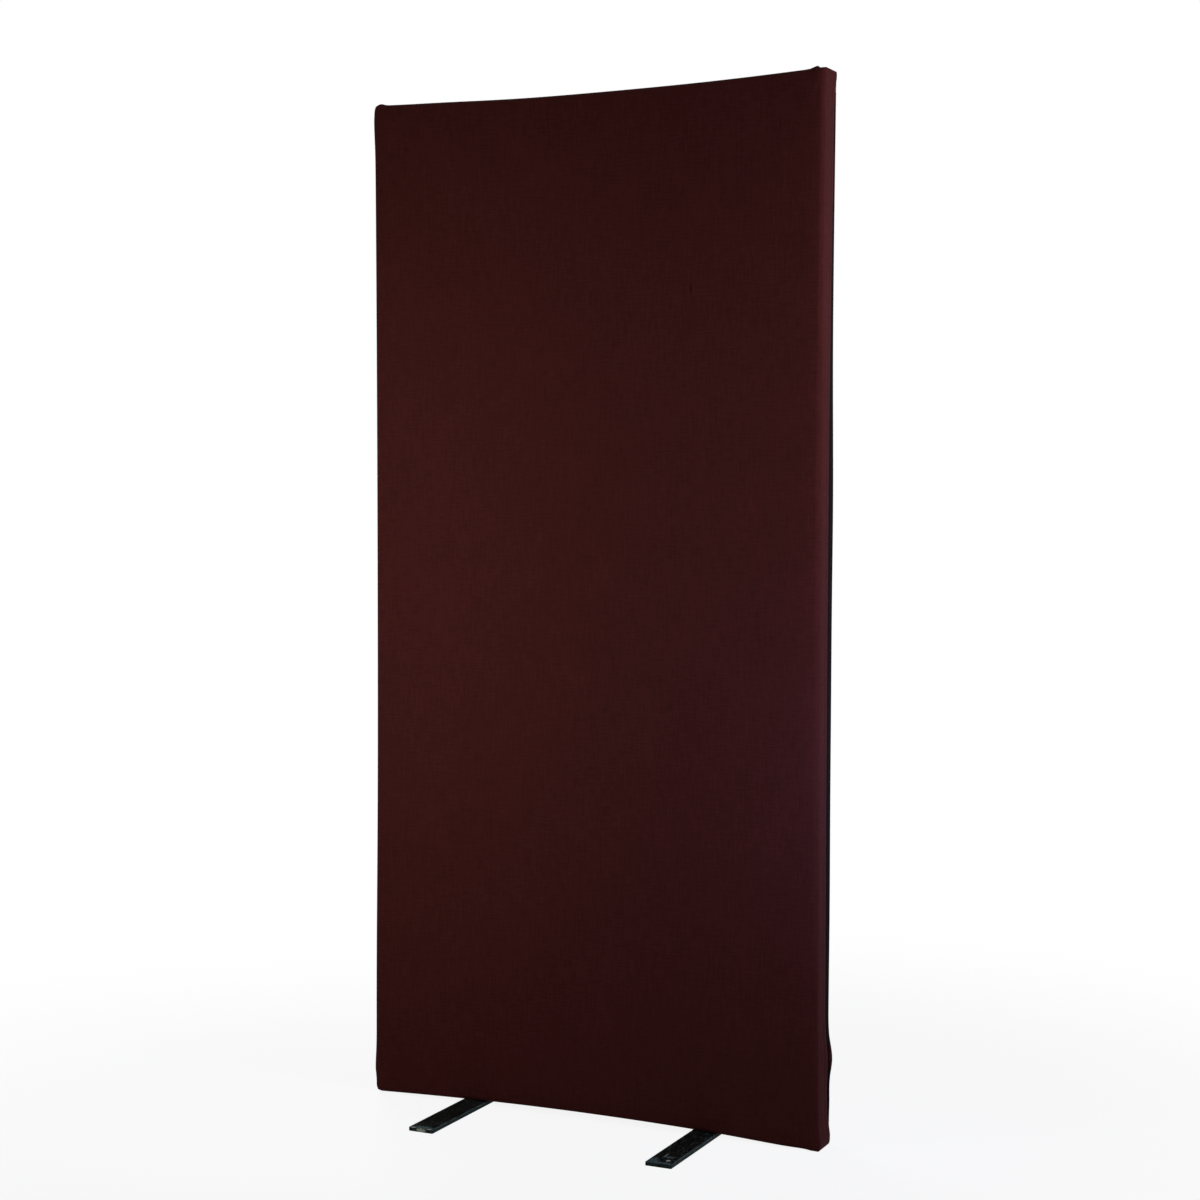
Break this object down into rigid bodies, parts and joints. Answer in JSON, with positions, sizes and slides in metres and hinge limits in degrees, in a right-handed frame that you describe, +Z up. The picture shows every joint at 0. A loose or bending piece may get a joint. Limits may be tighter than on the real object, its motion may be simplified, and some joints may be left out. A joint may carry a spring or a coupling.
{
  "type": "fabric-covered partition",
  "caption": "Tall free-standing flat partition: a boxed cloth cover stretched over a timber frame filled with mineral wool, on two flat steel bar feet.",
  "frame": {"origin": "on the floor under the middle of the panel", "axes": "+Z up, +X along the width of the panel to the right as seen from its front, -Y out of the front face; the closure of the cover is on the +X edge"},
  "size_m": [1.1714, 0.602, 2.4413],
  "materials": {
    "softwood": "planed pine, unfinished",
    "yellow_zinc": "yellow passivated wood screws",
    "mineral_wool": "dense mineral wool slab",
    "grey_felt": "thin needled polyester felt",
    "burgundy_cloth": "plain-woven dark burgundy polyester, slightly slubbed",
    "black_nylon_tape": "hook and loop closure tape",
    "black_painted_steel": "black painted flat bar, scuffed and chipped",
    "black_rubber": "thin packing pad",
    "bright_zinc": "zinc plated"
  },
  "bodies": {
    "root": {"stile_left": "softwood", "stile_right": "softwood", "top_rail": "softwood", "bottom_rail": "softwood", "cross_rail_lower": "softwood", "cross_rail_middle": "softwood", "cross_rail_upper": "softwood", "corner_block_top_left": "softwood", "corner_block_top_right": "softwood", "corner_block_bottom_left": "softwood", "corner_block_bottom_right": "softwood", "foot_block_left": "softwood", "foot_block_right": "softwood", "frame_screws": "yellow_zinc", "infill_bottom": "mineral_wool", "infill_lower_middle": "mineral_wool", "infill_upper_middle": "mineral_wool", "infill_top": "mineral_wool", "felt_front": "grey_felt", "felt_back": "grey_felt", "cover_front": "burgundy_cloth", "cover_back": "burgundy_cloth", "closure_loop_tape": "black_nylon_tape", "closure_hook_tape": "black_nylon_tape", "foot_bar_left": "black_painted_steel", "foot_bar_right": "black_painted_steel", "foot_pad_left": "black_rubber", "foot_pad_right": "black_rubber", "foot_bolts": "bright_zinc", "foot_washers": "bright_zinc", "foot_nuts": "bright_zinc"}
  },
  "joints": []
}
